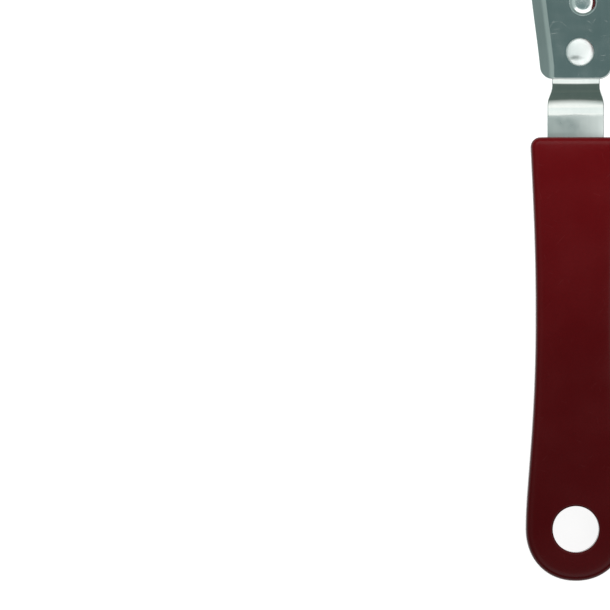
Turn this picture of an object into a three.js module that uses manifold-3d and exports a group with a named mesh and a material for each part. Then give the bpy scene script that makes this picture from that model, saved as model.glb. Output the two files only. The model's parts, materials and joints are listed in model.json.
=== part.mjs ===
// Manual can opener: two steel arms with plastic grips, riveted together near the head's tip like a
// nutcracker. The drive arm carries a butterfly key whose shaft turns a serrated feed wheel and a small
// gear; the cutter arm carries the round cutting wheel and its larger gear. Closing the handles meshes the
// gears and brings the blade beside the feed wheel, on the other side of a can's rim.
// Millimetres, +Z up. The opener lies on the backs of its grips with the key on top, Y runs from the
// grips' ends to the head's tip, and the origin is under the middle of the whole object.

import * as THREE from "three";
import { mergeVertices } from "three/addons/utils/BufferGeometryUtils.js";
import Module from "manifold-3d";

// ---- driving dimensions ----
const LENGTH = 200;                 // grip ends to the tip of the cap lifter
const HANDLE_X = 16;                // each handle's centreline, either side of the middle
const SHEET = 1.5;                  // steel sheet of plates and tangs
const PLAY = 0.05;                  // gap between parts that are clamped together
const RUN = 0.1;                    // radial clearance of a shank in its hole

const BASE_Y = -LENGTH / 2;         // where the grips end
const TIP_Y = LENGTH / 2;

// Grip outline, from its round end (0) to its square end near the head.
const GRIP = {
  length: 111, endHalf: 12.5, endRound: 13, waistHalf: 10, waistAt: 66, topHalf: 11.3, corner: 2.5,
  thick: 12, wall: 2.4, edge: 1.5, hangRadius: 5.8, hangAt: 12.9, parting: 0.1,
};
const SCREW = { at: [48, 82], shank: 1.4, head: 2.6, seat: 2.2, headTop: 0.6, tip: 9.4, point: 1.2 };
const CROSS = { half: 1.5, halfWidth: 0.3, deep: 0.7 };   // the recess in a screw's head
const RIB_POCKETS = [[22, 43], [53, 77], [87, 105]];   // hollows between the screw bosses, along the grip

// Tang: the joggled strip that runs from inside the grip to behind the head plate.
const TANG = { half: 7.1, neckHalf: 6, end: 30, endRound: 4, top: 148.5, topRound: 3 };
const TAPER = [119.5, 124];         // where the tang narrows on its way up the joggle
const JOGGLE = { from: 115.05, to: 125.9, lowBend: 11.8, highBend: 3.5 };

// Pitch point of the gears, and what lies around it.
const MODULE_MM = 1;
const CUTTER_TEETH = 20;
const DRIVE_TEETH = 12;
const PRESSURE_ANGLE = 25;
const NIP = new THREE.Vector2(-2, 59);
const CUTTER = new THREE.Vector2(NIP.x - (CUTTER_TEETH * MODULE_MM) / 2, NIP.y);
const DRIVE = new THREE.Vector2(NIP.x + (DRIVE_TEETH * MODULE_MM) / 2, NIP.y);
const PIVOT = new THREE.Vector2(NIP.x, NIP.y + 14);
const PIVOT_BOSS = 9;               // radius of the cutter arm's plate round the pivot

// Levels, from the table up.
const STUD_HEAD = [0, 1.3];
const BLADE = [1.4, 2.9];
const FEED = [3.1, 6.2];
const GEAR = [6.3, 8.6];
const BACK = [8.8, 8.8 + SHEET];    // the drive arm's plate
const FRONT = [10.7, 10.7 + SHEET]; // the cutter arm's plate
const MIDDLE = GRIP.thick / 2;      // the tangs' level inside the grips
const KEY_FOOT = 11.6;

const SHANK = 3;                    // pivot rivet, cutter stud and drive shaft
const BLADE_RADIUS = 11;
const FEED_RADIUS = 6.5;
const BUSH = { body: 4.3, flange: 5, flangeTop: 10.95 };
// The turned-down outer edge of each plate, which fades out towards the pivot.
const FLANGE = { width: 2.75, drop: 2, lap: 0.6, top: 63, fade: 16 };
const PLATE_CORNER = 3;
const PLATE_FOOT = BASE_Y + 125.5;                    // lower edge of both plates
const PLATE_FOOT_HALF = 9;
const ARM_RIVETS = [[1, 132.25], [1.75, 144.75]];     // from the handle's centreline and the grip's end
const ARM_RIVET = { shank: 1.9, frontHead: 3.5, backHead: 2.9, front: 0.75, back: 0.4 };

const ROUND = 24;                   // sides of a round piece

// Stands an outline on edge: its x runs along the opener's Y, its y up, and its thickness along X.
const ON_EDGE = new THREE.Matrix4().makeBasis(
  new THREE.Vector3(0, 1, 0), new THREE.Vector3(0, 0, 1), new THREE.Vector3(1, 0, 0));

const wasm = await Module();
wasm.setup();

// ---- solids ----
function solidOf(geometry) {
  const bare = geometry.index ? geometry.toNonIndexed() : geometry.clone();
  bare.deleteAttribute("normal");
  bare.deleteAttribute("uv");
  const merged = mergeVertices(bare, 1e-4);
  const vertProperties = merged.attributes.position.array;
  const build = (triVerts) => new wasm.Manifold(new wasm.Mesh({ numProp: 3, vertProperties, triVerts }));
  const made = build(new Uint32Array(merged.index.array));
  // a profile drawn the other way round gives a solid that is inside out
  return made.volume() < 0 ? build(new Uint32Array(merged.index.array).reverse()) : made;
}

function geometryOf(solid) {
  const mesh = solid.getMesh();
  const geometry = new THREE.BufferGeometry();
  geometry.setAttribute("position", new THREE.BufferAttribute(new Float32Array(mesh.vertProperties), 3));
  geometry.setIndex(new THREE.BufferAttribute(new Uint32Array(mesh.triVerts), 1));
  geometry.computeVertexNormals();
  return geometry;
}

function prism(shape, bottom, top, { bevel = 0, segments = 6 } = {}) {
  const geometry = new THREE.ExtrudeGeometry(shape, {
    depth: top - bottom - 2 * bevel, curveSegments: segments,
    bevelEnabled: bevel > 0, bevelSize: bevel, bevelThickness: bevel, bevelOffset: -bevel, bevelSegments: 2,
  });
  return solidOf(geometry.translate(0, 0, bottom + bevel));
}

// A round solid about a vertical axis through (x, y), from its profile of [radius, height] pairs.
function turned(at, profile, segments = ROUND) {
  const points = profile.map(([r, z]) => new THREE.Vector2(r, z));
  points.push(points[0].clone());
  const geometry = new THREE.LatheGeometry(points, segments).rotateX(Math.PI / 2);
  return solidOf(geometry.translate(at.x, at.y, 0));
}

function post(at, radius, bottom, top, segments = ROUND) {
  return turned(at, [[0, bottom], [radius, bottom], [radius, top], [0, top]], segments);
}

// What is cut away for a hole right through.
function hole(at, radius, segments = ROUND) {
  return post(at, radius, -1, 50, segments);
}

function ring(at, inner, outer, bottom, top, segments = ROUND) {
  return turned(at, [[inner, bottom], [outer, bottom], [outer, top], [inner, top]], segments);
}

function block(x, y, z) {
  const size = [x[1] - x[0], y[1] - y[0], z[1] - z[0]];
  const geometry = new THREE.BoxGeometry(...size);
  return solidOf(geometry.translate((x[0] + x[1]) / 2, (y[0] + y[1]) / 2, (z[0] + z[1]) / 2));
}

// A solid through equal-sided sections, each a list of Vector3, with flat ends.
function loft(sections) {
  const sides = sections[0].length;
  const positions = sections.flat().flatMap((p) => [p.x, p.y, p.z]);
  const faces = [];
  for (let i = 0; i < sections.length - 1; i++) {
    for (let j = 0; j < sides; j++) {
      const a = i * sides + j;
      const b = i * sides + ((j + 1) % sides);
      faces.push(a, b, b + sides, a, b + sides, a + sides);
    }
  }
  const last = (sections.length - 1) * sides;
  for (let j = 1; j < sides - 1; j++) {
    faces.push(0, j + 1, j, last, last + j, last + j + 1);
  }
  const geometry = new THREE.BufferGeometry();
  geometry.setAttribute("position", new THREE.BufferAttribute(new Float32Array(positions), 3));
  return solidOf(geometry.setIndex(faces));
}

// ---- materials ----
const steel = (color, roughness) => new THREE.MeshStandardMaterial({ color, roughness, metalness: 1 });
const plastic = (color, roughness) => new THREE.MeshStandardMaterial({ color, roughness, metalness: 0 });
const MATERIAL = {
  plate: steel(0x9aa5a3, 0.28),
  bright: steel(0xd6dad9, 0.12),
  blade: steel(0xb9bfc0, 0.2),
  gear: steel(0x858b8b, 0.4),
  grip: plastic(0x64191c, 0.42),
};

const opener = new THREE.Group();
function add(name, solid, material) {
  const mesh = new THREE.Mesh(geometryOf(solid), material);
  mesh.name = name;
  opener.add(mesh);
}

// ---- grips ----
function gripOutline() {
  const g = GRIP;
  const shape = new THREE.Shape();
  shape.moveTo(0, 0);
  shape.bezierCurveTo(7.5, 0, g.endHalf, 5.4, g.endHalf, g.endRound);
  shape.bezierCurveTo(g.endHalf, 24, g.waistHalf, 38, g.waistHalf, g.waistAt);
  shape.bezierCurveTo(g.waistHalf, 84, 10.7, 96, g.topHalf, g.length - g.corner);
  shape.quadraticCurveTo(g.topHalf, g.length, g.topHalf - g.corner, g.length);
  shape.lineTo(g.corner - g.topHalf, g.length);
  shape.quadraticCurveTo(-g.topHalf, g.length, -g.topHalf, g.length - g.corner);
  shape.bezierCurveTo(-10.7, 96, -g.waistHalf, 84, -g.waistHalf, g.waistAt);
  shape.bezierCurveTo(-g.waistHalf, 38, -g.endHalf, 24, -g.endHalf, g.endRound);
  shape.bezierCurveTo(-g.endHalf, 5.4, -7.5, 0, 0, 0);
  return shape;
}

// Both halves of one grip, in the handle's own frame: x across, y from the grip's end.
function gripHalves() {
  const g = GRIP;
  const slot = TANG.half + RUN;
  const half = SHEET / 2 + RUN;
  let body = prism(gripOutline(), 0, g.thick, { bevel: g.edge });
  body = body.subtract(hole({ x: 0, y: g.hangAt }, g.hangRadius));
  body = body.subtract(block([-slot, slot], [TANG.end - RUN, g.length + 1], [MIDDLE - half, MIDDLE + half]));
  for (const [from, to] of RIB_POCKETS) {
    body = body.subtract(block([-slot, slot], [from, to], [g.wall, g.thick - g.wall]));
  }
  for (const s of SCREW.at) {
    const at = new THREE.Vector2(0, s);
    body = body.subtract(post(at, SCREW.shank + RUN, -1, SCREW.tip + 0.3, 16));
    body = body.subtract(post(at, SCREW.head + 0.2, -1, SCREW.seat, 16));
  }
  const wide = [-g.endHalf - 1, g.endHalf + 1];
  const long = [-1, g.length + 1];
  const part = g.parting / 2;
  return {
    front: body.subtract(block(wide, long, [-1, MIDDLE + part])),
    back: body.subtract(block(wide, long, [MIDDLE - part, g.thick + 1])),
  };
}

function screw(at) {
  const s = SCREW;
  const solid = turned(at, [
    [0, s.headTop], [s.head - 0.4, s.headTop], [s.head, s.headTop + 0.5], [s.head, s.seat - PLAY],
    [s.shank, s.seat - PLAY], [s.shank, s.tip - s.point], [0, s.tip],
  ], 12);
  const c = CROSS;
  const arm = (w, h) => block([at.x - w, at.x + w], [at.y - h, at.y + h], [0, s.headTop + c.deep]);
  return solid.subtract(arm(c.half, c.halfWidth)).subtract(arm(c.halfWidth, c.half));
}

// ---- tangs ----
// The strip's side view: level inside the grip, then up through two bends by `rise`, then level again. The
// slope between the bends is as steep as the joggle's length and the bends' radii make it.
function tangProfile(rise) {
  const j = JOGGLE;
  const run = j.to - j.from;
  const spare = 2 * (j.lowBend + j.highBend) - rise;
  const turn = 2 * Math.atan((run - Math.sqrt(run * run - rise * spare)) / spare);
  const quarter = Math.PI / 2;
  const low = new THREE.Vector2(j.from, MIDDLE + j.lowBend);
  const high = new THREE.Vector2(j.to, MIDDLE + rise - j.highBend);
  const half = SHEET / 2;
  const shape = new THREE.Shape();
  shape.moveTo(TANG.end, MIDDLE - half);
  shape.absarc(low.x, low.y, j.lowBend + half, -quarter, turn - quarter, false);
  shape.absarc(high.x, high.y, j.highBend - half, quarter + turn, quarter, true);
  shape.lineTo(TANG.top, MIDDLE + rise - half);
  shape.lineTo(TANG.top, MIDDLE + rise + half);
  shape.absarc(high.x, high.y, j.highBend + half, quarter, quarter + turn, false);
  shape.absarc(low.x, low.y, j.lowBend - half, turn - quarter, -quarter, true);
  shape.lineTo(TANG.end, MIDDLE + half);
  return shape;
}

function tangOutline() {
  const { half, neckHalf, end, endRound, top, topRound } = TANG;
  const [from, to] = TAPER;
  const ease = (to - from) / 3;
  const quarter = Math.PI / 2;
  const shape = new THREE.Shape();
  shape.moveTo(0, end);
  shape.absarc(half - endRound, end + endRound, endRound, -quarter, 0, false);
  shape.lineTo(half, from);
  shape.bezierCurveTo(half, from + ease, neckHalf, to - ease, neckHalf, to);
  shape.absarc(neckHalf - topRound, top - topRound, topRound, 0, quarter, false);
  shape.absarc(topRound - neckHalf, top - topRound, topRound, quarter, 2 * quarter, false);
  shape.lineTo(-neckHalf, to);
  shape.bezierCurveTo(-neckHalf, to - ease, -half, from + ease, -half, from);
  shape.absarc(endRound - half, end + endRound, endRound, 2 * quarter, 3 * quarter, false);
  return shape;
}

function tang(rise) {
  const width = 2 * TANG.half + 2;
  const side = new THREE.ExtrudeGeometry(tangProfile(rise), {
    depth: width, bevelEnabled: false, curveSegments: 3,
  });
  side.translate(0, 0, -width / 2);
  side.applyMatrix4(ON_EDGE);
  let solid = solidOf(side).intersect(prism(tangOutline(), 0, 20, { segments: 3 }));
  for (const s of SCREW.at) {
    solid = solid.subtract(hole({ x: 0, y: s }, SCREW.shank + 2 * RUN, 12));
  }
  return solid;
}

// ---- head plates ----
// A plate is a flat web with a flange along its outer edge: a sheet that slopes down across FLANGE.width.
// The flange follows the points of the outline's outer edge, and rises back into the web at its upper end.
function flangeEdge(outline, side) {
  const outside = (p) => side * p.x > HANDLE_X && p.y < FLANGE.top;
  return outline.getPoints(6).filter(outside).sort((a, b) => a.y - b.y);
}

function flange(edge, level, side) {
  const sections = edge.map((p) => {
    const inner = p.x - side * FLANGE.width;
    const deep = inner - side * FLANGE.lap;
    const drop = FLANGE.drop * Math.min(1, (edge.at(-1).y - p.y) / FLANGE.fade);
    const at = (x, z) => new THREE.Vector3(x, p.y, z);
    return [
      at(p.x, level[1] - drop), at(p.x, level[0] - drop), at(inner, level[0]),
      at(deep, level[0]), at(deep, level[1]), at(inner, level[1]),
    ];
  });
  return loft(sections);
}

// What the flange takes the place of, outside its bend line.
function outsideBend(edge, level, side) {
  const shape = new THREE.Shape();
  shape.moveTo(side * 2 * HANDLE_X, edge[0].y - 1);
  shape.lineTo(edge[0].x - side * FLANGE.width, edge[0].y - 1);
  edge.forEach((p) => shape.lineTo(p.x - side * FLANGE.width, p.y));
  shape.lineTo(side * 2 * HANDLE_X, edge.at(-1).y);
  return prism(shape, level[0] - 1, level[1] + 1);
}

// The rounded corner between the plate's foot and its outer edge, as what is cut away.
function footCorner(level, side) {
  const c = PLATE_CORNER;
  const x = side * (HANDLE_X + PLATE_FOOT_HALF);
  const across = [x - side * c, x + side].sort((a, b) => a - b);
  const waste = block(across, [PLATE_FOOT - 1, PLATE_FOOT + c], [level[0] - 3, level[1] + 1]);
  return waste.subtract(hole({ x: x - side * c, y: PLATE_FOOT + c }, c));
}

function flangedPlate(outline, level, side) {
  const edge = flangeEdge(outline, side);
  const web = prism(outline, ...level).subtract(outsideBend(edge, level, side));
  return web.add(flange(edge, level, side)).subtract(footCorner(level, side));
}

function cutterPlateOutline() {
  const left = -HANDLE_X - PLATE_FOOT_HALF;
  const right = -HANDLE_X + PLATE_FOOT_HALF;
  const aim = Math.atan2(DRIVE.y - PIVOT.y, DRIVE.x - PIVOT.x);
  const hollow = PIVOT.distanceTo(DRIVE) - PIVOT_BOSS;   // the notch that clears the key's bush
  const shape = new THREE.Shape();
  shape.moveTo(left, PLATE_FOOT);
  shape.bezierCurveTo(-25.7, 34, -26.9, 42, -27.8, 51);
  shape.bezierCurveTo(-28.3, 56, -27, 62.5, -22, 68.5);
  shape.bezierCurveTo(-16.5, 75, -10.5, 82, PIVOT.x, PIVOT.y + PIVOT_BOSS);
  shape.absarc(PIVOT.x, PIVOT.y, PIVOT_BOSS, Math.PI / 2, aim, true);
  shape.absarc(DRIVE.x, DRIVE.y, hollow, aim + Math.PI, Math.PI, false);
  shape.bezierCurveTo(-2.2, 50, -5.4, 40, right, PLATE_FOOT + PLATE_CORNER);
  shape.quadraticCurveTo(right, PLATE_FOOT, right - PLATE_CORNER, PLATE_FOOT);
  return shape;
}

const LIFTER = { half: 14, holeHalf: 10.5, holeLow: 84.5, holeHigh: 95.8, tab: 4, tabRise: 2.2 };

function drivePlateOutline() {
  const left = HANDLE_X - PLATE_FOOT_HALF;
  const right = HANDLE_X + PLATE_FOOT_HALF;
  const mid = PIVOT.x;
  const wide = LIFTER.half;
  const shape = new THREE.Shape();
  shape.moveTo(right, PLATE_FOOT);
  shape.bezierCurveTo(25.7, 34, 26.4, 40, 25.5, 47);
  shape.bezierCurveTo(24.3, 56, 13, 60, 10.5, 69);
  shape.bezierCurveTo(9, 74, mid + wide, 78, mid + wide, 85);
  shape.bezierCurveTo(mid + wide, 95, mid + 8, TIP_Y, mid, TIP_Y);
  shape.bezierCurveTo(mid - 8, TIP_Y, mid - wide, 95, mid - wide, 85);
  shape.bezierCurveTo(mid - wide, 80, mid - 10.3, 79, mid - 10, 73);
  shape.bezierCurveTo(mid - 9.6, 66, -6.6, 63.5, -6.3, 58.5);
  shape.bezierCurveTo(-6, 52, 4.5, 42, left, PLATE_FOOT + PLATE_CORNER);
  shape.quadraticCurveTo(left, PLATE_FOOT, left + PLATE_CORNER, PLATE_FOOT);
  return shape;
}

// The cap lifter's window, with the tab that catches under a crown cap.
function capHole() {
  const mid = PIVOT.x;
  const o = LIFTER;
  const path = new THREE.Shape();
  path.moveTo(mid - o.tab - 1.5, o.holeLow);
  path.quadraticCurveTo(mid - o.holeHalf, o.holeLow, mid - o.holeHalf, o.holeLow + 4);
  path.bezierCurveTo(mid - o.holeHalf, o.holeHigh - 2, mid - 6, o.holeHigh, mid, o.holeHigh);
  path.bezierCurveTo(mid + 6, o.holeHigh, mid + o.holeHalf, o.holeHigh - 2, mid + o.holeHalf, o.holeLow + 4);
  path.quadraticCurveTo(mid + o.holeHalf, o.holeLow, mid + o.tab + 1.5, o.holeLow);
  path.lineTo(mid + o.tab, o.holeLow + o.tabRise);
  path.lineTo(mid - o.tab, o.holeLow + o.tabRise);
  return prism(path, BACK[0] - 1, BACK[1] + 1);
}

// ---- rivets ----
// A rivet between two levels, with a domed head in front (up) and another behind.
function rivet(at, shank, front, back, frontHead, backHead) {
  const dome = (radius, height, from, way) => [
    [radius, from], [radius, from + way * height * 0.4], [radius * 0.7, from + way * height * 0.88],
    [0, from + way * height],
  ];
  return turned(at, [
    ...dome(...backHead, back, -1).reverse(), [shank, back], [shank, front],
    ...dome(...frontHead, front, 1),
  ], 20);
}

function armRivets(name, side, level) {
  ARM_RIVETS.forEach(([x, s], i) => {
    const at = new THREE.Vector2(side * (HANDLE_X - x), BASE_Y + s);
    const r = ARM_RIVET;
    const back = level[0] - SHEET - 2 * PLAY;
    const solid = rivet(at, r.shank, level[1] + PLAY, back, [r.frontHead, r.front], [r.backHead, r.back]);
    add(`${name}_rivet_${["lower", "upper"][i]}`, solid, MATERIAL.bright);
  });
}

function drillArmRivets(solid, side) {
  let drilled = solid;
  for (const [x, s] of ARM_RIVETS) {
    const at = new THREE.Vector2(side * (HANDLE_X - x), BASE_Y + s);
    drilled = drilled.subtract(hole(at, ARM_RIVET.shank + RUN, 16));
  }
  return drilled;
}

// ---- gears and wheels ----
// Spur gear outline with involute flanks, a tooth centred on angle `phase`.
function gearShape(teeth, phase) {
  const pitch = (teeth * MODULE_MM) / 2;
  const pressure = THREE.MathUtils.degToRad(PRESSURE_ANGLE);
  const base = pitch * Math.cos(pressure);
  const tip = pitch + 0.92 * MODULE_MM;
  const root = pitch - 1.25 * MODULE_MM;
  const slack = 0.16;                                   // taken off each tooth's thickness
  const involute = (a) => Math.tan(a) - a;
  const halfTooth = (Math.PI * MODULE_MM - 2 * slack) / (4 * pitch) + involute(pressure);
  const flank = 3;
  const points = [];
  for (let k = 0; k < teeth; k++) {
    const centre = phase + (2 * Math.PI * k) / teeth;
    const side = [];
    for (let i = 0; i <= flank; i++) {
      const r = Math.max(base, root) + ((tip - Math.max(base, root)) * i) / flank;
      side.push([r, halfTooth - involute(Math.acos(Math.min(1, base / r)))]);
    }
    const foot = side[0][1] + 0.01;
    for (const [r, a] of [[root, foot], ...side]) points.push([r, centre - a]);
    for (const [r, a] of [[root, foot], ...side].reverse()) points.push([r, centre + a]);
  }
  return new THREE.Shape(points.map(([r, a]) => new THREE.Vector2(r * Math.cos(a), r * Math.sin(a))));
}

// V-shaped serrations that grip the underside of a can's rim.
function serratedShape(radius, count, depth) {
  const points = [];
  for (let k = 0; k < 2 * count; k++) {
    const r = k % 2 ? radius - depth : radius;
    const a = (Math.PI * k) / count;
    points.push(new THREE.Vector2(r * Math.cos(a), r * Math.sin(a)));
  }
  return new THREE.Shape(points);
}

// A shaft's round section with two flats, which keys the wheels to it.
function doubleD(radius, flat) {
  const a = Math.asin(flat / radius);
  const shape = new THREE.Shape();
  shape.absarc(0, 0, radius, -a, a, false);
  shape.absarc(0, 0, radius, Math.PI - a, Math.PI + a, false);
  return shape;
}

const moved = (solid, at) => solid.translate([at.x, at.y, 0]);
const KEYED = { radius: SHANK, flat: 2.4 };

function cuttingWheel() {
  const [low, high] = BLADE;
  return turned(CUTTER, [
    [SHANK + RUN, low], [7.6, low], [BLADE_RADIUS, high - 0.2], [BLADE_RADIUS, high - 0.1],
    [BLADE_RADIUS - 0.4, high], [SHANK + RUN, high],
  ], 40);
}

function cutterGear() {
  const gear = moved(prism(gearShape(CUTTER_TEETH, 0), ...GEAR), CUTTER);
  const hub = post(CUTTER, 6.5, BLADE[1] + PLAY, GEAR[0] + 0.5);
  return gear.add(hub).subtract(hole(CUTTER, SHANK + RUN));
}

function keyedWheel(shape, level) {
  const bore = doubleD(KEYED.radius + 0.06, KEYED.flat + 0.06);
  return moved(prism(shape, ...level).subtract(prism(bore, 0, 20)), DRIVE);
}

// ---- key ----
const KEY = { half: 3.5, edge: 1.3, spadeTop: 33, spadeFoot: 20, spadeHalf: 8, spadeThick: 1.2, pinAt: 27 };

function keyOutline() {
  const shape = new THREE.Shape();
  shape.moveTo(4.6, KEY_FOOT + 1);
  shape.lineTo(4.6, 16);
  shape.bezierCurveTo(4.6, 18.6, 9, 18.4, 13.5, 17.4);
  shape.bezierCurveTo(22, 15.6, 28.5, 20, 28.5, 28.5);
  shape.bezierCurveTo(28.5, 36.5, 22, 41.4, 15, 39.8);
  shape.bezierCurveTo(9, 38.4, 5.5, 36, 0, 36);
  shape.bezierCurveTo(-5.5, 36, -9, 38.4, -15, 39.8);
  shape.bezierCurveTo(-22, 41.4, -28.5, 36.5, -28.5, 28.5);
  shape.bezierCurveTo(-28.5, 20, -22, 15.6, -13.5, 17.4);
  shape.bezierCurveTo(-9, 18.4, -4.6, 18.6, -4.6, 16);
  shape.lineTo(-4.6, KEY_FOOT + 1);
  return shape;
}

function keyBody() {
  const k = KEY;
  const wings = new THREE.ExtrudeGeometry(keyOutline(), {
    depth: 2 * (k.half - k.edge), curveSegments: 6,
    bevelEnabled: true, bevelSize: k.edge, bevelThickness: k.edge, bevelOffset: -k.edge, bevelSegments: 2,
  });
  wings.translate(0, 0, k.edge - k.half);
  wings.applyMatrix4(ON_EDGE).translate(DRIVE.x, DRIVE.y, 0);
  const neck = turned(DRIVE, [
    [0, KEY_FOOT], [4.8, KEY_FOOT], [5, KEY_FOOT + 0.4], [5, KEY_FOOT + 1.2], [5.8, KEY_FOOT + 2],
    [5.8, 18.5], [4, 26], [0, 26],
  ]);
  const bore = post(DRIVE, SHANK + 0.05, 0, k.spadeFoot + PLAY);
  const c = k.spadeThick + PLAY;
  const h = k.spadeHalf + PLAY;
  const spade = [k.spadeFoot - 0.1, k.spadeTop + PLAY];
  const pocket = block([DRIVE.x - c, DRIVE.x + c], [DRIVE.y - h, DRIVE.y + h], spade);
  return solidOf(wings).add(neck).subtract(bore).subtract(pocket).subtract(keyPin(0.1));
}

// A cross pin with two flush heads, along X; `gap` widens it all round to make its hole.
function keyPin(gap) {
  const head = 2.1 + gap;
  const shank = 1.2 + gap;
  const shoulder = KEY.half - 1.3 - gap;
  const reach = KEY.half - 0.3 + 10 * gap;
  const points = [
    [0, -reach], [head, -reach], [head, -shoulder], [shank, -shoulder],
    [shank, shoulder], [head, shoulder], [head, reach], [0, reach],
  ];
  const geometry = new THREE.LatheGeometry(points.map(([r, x]) => new THREE.Vector2(r, x)), 24);
  geometry.rotateZ(-Math.PI / 2);
  return solidOf(geometry.translate(DRIVE.x, DRIVE.y, KEY.pinAt));
}

function driveShaft() {
  const k = KEY;
  const keyed = moved(prism(doubleD(KEYED.radius, KEYED.flat), FEED[0] - 0.3, GEAR[1] + 0.1), DRIVE);
  const head = turned(DRIVE, [[0, 2], [3.8, 2], [4.4, 2.4], [4.4, FEED[0] - PLAY], [0, FEED[0] - PLAY]]);
  const round = post(DRIVE, SHANK, GEAR[1] + 0.05, k.spadeFoot);
  const spade = block(
    [DRIVE.x - k.spadeThick, DRIVE.x + k.spadeThick], [DRIVE.y - k.spadeHalf, DRIVE.y + k.spadeHalf],
    [k.spadeFoot - 0.05, k.spadeTop]);
  return keyed.add(head).add(round).add(spade).subtract(keyPin(0.1));
}

function keyHalf(body, side) {
  const gap = 0.05;
  const far = 30;
  const away = side > 0 ? [DRIVE.x - far, DRIVE.x + gap] : [DRIVE.x - gap, DRIVE.x + far];
  return body.subtract(block(away, [DRIVE.y - 40, DRIVE.y + 40], [0, 60]));
}

// ---- assembly ----
function addHandle(name, side, rise) {
  const at = { x: side * HANDLE_X, y: BASE_Y };
  const halves = gripHalves();
  add(`${name}_grip_front`, moved(halves.front, at), MATERIAL.grip);
  add(`${name}_grip_back`, moved(halves.back, at), MATERIAL.grip);
  ["lower", "upper"].forEach((where, i) => {
    const centre = new THREE.Vector2(at.x, at.y + SCREW.at[i]);
    add(`${name}_grip_screw_${where}`, screw(centre), MATERIAL.bright);
  });
  add(`${name}_arm_tang`, drillArmRivets(moved(tang(rise), at), side), MATERIAL.plate);
}

function addDriveArm() {
  addHandle("drive", 1, BACK[0] - PLAY - SHEET / 2 - MIDDLE);
  let plate = flangedPlate(drivePlateOutline(), BACK, 1).subtract(capHole());
  plate = plate.subtract(hole(DRIVE, BUSH.body + RUN / 2));
  plate = plate.subtract(hole(PIVOT, SHANK + RUN / 2));
  add("drive_arm_plate", drillArmRivets(plate, 1), MATERIAL.plate);
  armRivets("drive_arm", 1, BACK);
  const b = BUSH;
  const below = BACK[0] - PLAY;
  const above = BACK[1] + PLAY;
  const bore = SHANK + RUN;
  const bush = [[bore, below], [b.body, below], [b.body, above], [b.flange, above], [b.flange, b.flangeTop]];
  add("shaft_bush", turned(DRIVE, [...bush, [bore, b.flangeTop]]), MATERIAL.gear);
  const pivot = rivet(PIVOT, SHANK, FRONT[1] + PLAY, below, [5.2, 1.5], [4.6, 1]);
  add("pivot_rivet", pivot, MATERIAL.bright);
  add("pivot_washer", ring(PIVOT, bore, 6.5, above, FRONT[0] - PLAY), MATERIAL.bright);
}

function addCutterArm() {
  addHandle("cutter", -1, FRONT[0] - PLAY - SHEET / 2 - MIDDLE);
  let plate = flangedPlate(cutterPlateOutline(), FRONT, -1);
  plate = plate.subtract(hole(PIVOT, SHANK + RUN));
  plate = plate.subtract(hole(CUTTER, SHANK + RUN / 2));
  add("cutter_arm_plate", drillArmRivets(plate, -1), MATERIAL.plate);
  armRivets("cutter_arm", -1, FRONT);
  const stud = rivet(CUTTER, SHANK, FRONT[1] + PLAY, STUD_HEAD[1], [4.5, 1.1], [4.8, STUD_HEAD[1]]);
  add("cutter_stud", stud, MATERIAL.bright);
  add("cutter_spacer", ring(CUTTER, SHANK + RUN, 4.5, GEAR[1] + 0.1, FRONT[0] - PLAY), MATERIAL.gear);
}

function addCutter() {
  add("cutting_wheel", cuttingWheel(), MATERIAL.blade);
  add("cutter_gear", cutterGear(), MATERIAL.gear);
}

function addKey() {
  const firstGap = Math.PI / DRIVE_TEETH;               // a gap, not a tooth, faces the cutter's gear
  add("feed_wheel", keyedWheel(serratedShape(FEED_RADIUS, 22, 0.8), FEED), MATERIAL.gear);
  add("drive_gear", keyedWheel(gearShape(DRIVE_TEETH, Math.PI + firstGap), GEAR), MATERIAL.gear);
  add("drive_shaft", driveShaft(), MATERIAL.bright);
  add("key_washer", ring(DRIVE, SHANK + RUN, 4.9, BUSH.flangeTop + PLAY, KEY_FOOT - PLAY), MATERIAL.bright);
  const body = keyBody();
  add("key_shell_left", keyHalf(body, -1), MATERIAL.grip);
  add("key_shell_right", keyHalf(body, 1), MATERIAL.grip);
  add("key_pin", keyPin(0), MATERIAL.bright);
}

addDriveArm();
addCutterArm();
addCutter();
addKey();

export default opener;
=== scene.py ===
"""Looks of a manual can opener: finer shapes for its pieces, their materials, the studio and the camera.

Shapes are worked out in millimetres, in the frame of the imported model. A mesh is made in metres.
Heights, axes and handle places are read from the frame.
"""

import json
import math

import bpy
import numpy as np
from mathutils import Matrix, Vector
from mathutils.geometry import delaunay_2d_cdt


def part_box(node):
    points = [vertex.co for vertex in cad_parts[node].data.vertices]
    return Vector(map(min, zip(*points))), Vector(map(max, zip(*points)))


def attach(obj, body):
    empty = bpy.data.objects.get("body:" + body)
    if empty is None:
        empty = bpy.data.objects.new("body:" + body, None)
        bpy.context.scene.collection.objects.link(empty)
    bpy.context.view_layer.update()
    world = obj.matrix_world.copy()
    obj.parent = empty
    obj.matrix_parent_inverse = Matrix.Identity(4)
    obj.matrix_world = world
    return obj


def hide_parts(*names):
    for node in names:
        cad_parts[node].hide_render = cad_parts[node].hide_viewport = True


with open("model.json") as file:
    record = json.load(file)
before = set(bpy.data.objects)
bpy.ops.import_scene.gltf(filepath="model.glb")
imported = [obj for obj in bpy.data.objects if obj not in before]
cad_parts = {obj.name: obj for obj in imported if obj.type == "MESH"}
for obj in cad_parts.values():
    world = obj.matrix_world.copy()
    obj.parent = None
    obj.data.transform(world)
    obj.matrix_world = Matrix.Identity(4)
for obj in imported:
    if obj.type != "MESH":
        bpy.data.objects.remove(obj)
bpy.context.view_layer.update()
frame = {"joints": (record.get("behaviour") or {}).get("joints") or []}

MM = 0.001
SHEET = 1.5                              # thickness of the steel sheet
SHARP = math.radians(32)                 # an edge that turns by more than this is shaded as an edge


# ---- the frame, in millimetres ----

def box(node):
    low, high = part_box(node)
    return low / MM, high / MM


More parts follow.
